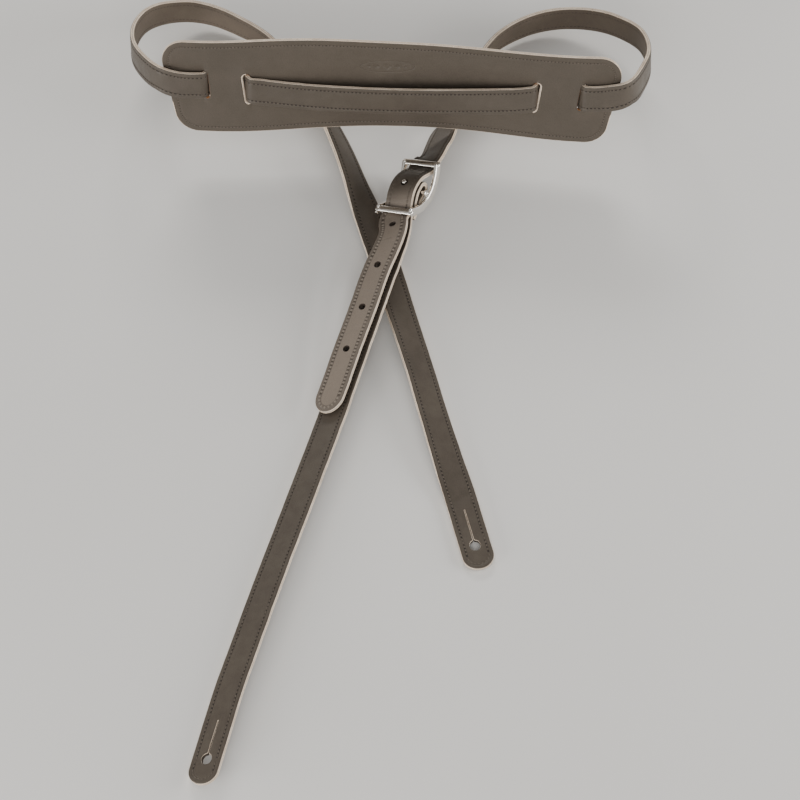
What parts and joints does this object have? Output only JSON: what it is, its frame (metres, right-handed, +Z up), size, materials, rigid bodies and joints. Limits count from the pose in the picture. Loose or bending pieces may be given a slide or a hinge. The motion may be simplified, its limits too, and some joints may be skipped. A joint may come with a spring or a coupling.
{
  "type": "guitar strap",
  "caption": "Narrow stitched leather guitar strap threaded through a slotted sliding shoulder pad, shortened by a stud buckle; both rounded ends have a slit button hole.",
  "frame": {"origin": "on the table, at the middle of the outline the strap covers as it is laid out", "axes": "+Z up from the table, +X along the pad to the right as seen from the front, -Y towards the two tail ends"},
  "size_m": [0.334, 0.538, 0.0834],
  "materials": {
    "strap_grain": "semi-matt waxed grain, pale raw cut edges",
    "strap_lining": "matt smooth inner face",
    "pad_leather": "semi-matt grain with a light pebble",
    "pad_lining": "matt suede",
    "sewing_thread": "waxed thread",
    "buckle_nickel": "polished nickel plate"
  },
  "bodies": {
    "strap_middle": {"strap_middle_grain": "strap_grain", "strap_middle_lining": "strap_lining", "strap_middle_thread_upper": "sewing_thread", "strap_middle_thread_lower": "sewing_thread"},
    "pad": {"pad_front_leather": "pad_leather", "pad_back_lining": "pad_lining", "pad_seam_thread": "sewing_thread"},
    "right_tail": {"right_tail_grain": "strap_grain", "right_tail_lining": "strap_lining", "right_tail_thread_inner": "sewing_thread", "right_tail_thread_outer": "sewing_thread"},
    "right_tab": {"right_tab_grain": "strap_grain", "right_tab_lining": "strap_lining", "right_tab_thread": "sewing_thread"},
    "buckled_length": {"buckled_length_grain": "strap_grain", "buckled_length_lining": "strap_lining", "buckle_frame": "buckle_nickel", "buckle_stud": "buckle_nickel"},
    "free_tip": {"free_tip_grain": "strap_grain", "free_tip_lining": "strap_lining", "free_tip_thread": "sewing_thread"},
    "short_strap": {"short_strap_grain": "strap_grain", "short_strap_lining": "strap_lining", "short_strap_thread_inner": "sewing_thread", "short_strap_thread_outer": "sewing_thread"},
    "left_tail": {"left_tail_grain": "strap_grain", "left_tail_lining": "strap_lining", "left_tail_thread_inner": "sewing_thread", "left_tail_thread_outer": "sewing_thread"},
    "left_tab": {"left_tab_grain": "strap_grain", "left_tab_lining": "strap_lining", "left_tab_thread": "sewing_thread"}
  },
  "joints": [
    {"name": "pad_slide", "type": "slide", "parent": "strap_middle", "child": "pad", "axis": [0.0119, 0.3088, 0.9511], "range_m": [0, 0.002]},
    {"name": "right_tail_bend", "type": "hinge", "parent": "strap_middle", "child": "right_tail", "pos_m": [0.01153, 0.02566, 0.00512], "axis": [-0.8907, -0.2474, 0.3814], "range_deg": [0, 60], "stiffness_Nm_per_rad": 0.05},
    {"name": "right_tab_bend", "type": "hinge", "parent": "right_tail", "child": "right_tab", "pos_m": [0.04289, -0.08715, 0.0016], "axis": [-0.9677, -0.252, -0.001], "range_deg": [0, 45], "stiffness_Nm_per_rad": 0.05},
    {"name": "left_drop_bend", "type": "hinge", "parent": "strap_middle", "child": "buckled_length", "pos_m": [0.02689, 0.1527, 0.01355], "axis": [-0.7765, 0.2505, -0.5782], "range_deg": [0, 20], "stiffness_Nm_per_rad": 0.05},
    {"name": "free_tip_bend", "type": "hinge", "parent": "buckled_length", "child": "free_tip", "pos_m": [0.0023, 0.1043, 0.01452], "axis": [-0.937, 0.0381, -0.3474], "range_deg": [0, 16], "stiffness_Nm_per_rad": 0.05},
    {"name": "short_strap_swing", "type": "hinge", "parent": "buckled_length", "child": "short_strap", "pos_m": [0.01232, 0.12583, 0.01382], "axis": [-0.8232, 0.396, -0.4067], "range_deg": [0, 0.5]},
    {"name": "left_tail_bend", "type": "hinge", "parent": "short_strap", "child": "left_tail", "pos_m": [-0.04004, -0.04775, 0.00549], "axis": [-0.862, 0.2793, -0.423], "range_deg": [0, 60], "stiffness_Nm_per_rad": 0.05},
    {"name": "left_tab_bend", "type": "hinge", "parent": "left_tail", "child": "left_tab", "pos_m": [-0.09461, -0.22115, 0.00523], "axis": [-0.89, 0.23, -0.3937], "range_deg": [0, 45], "stiffness_Nm_per_rad": 0.05}
  ]
}
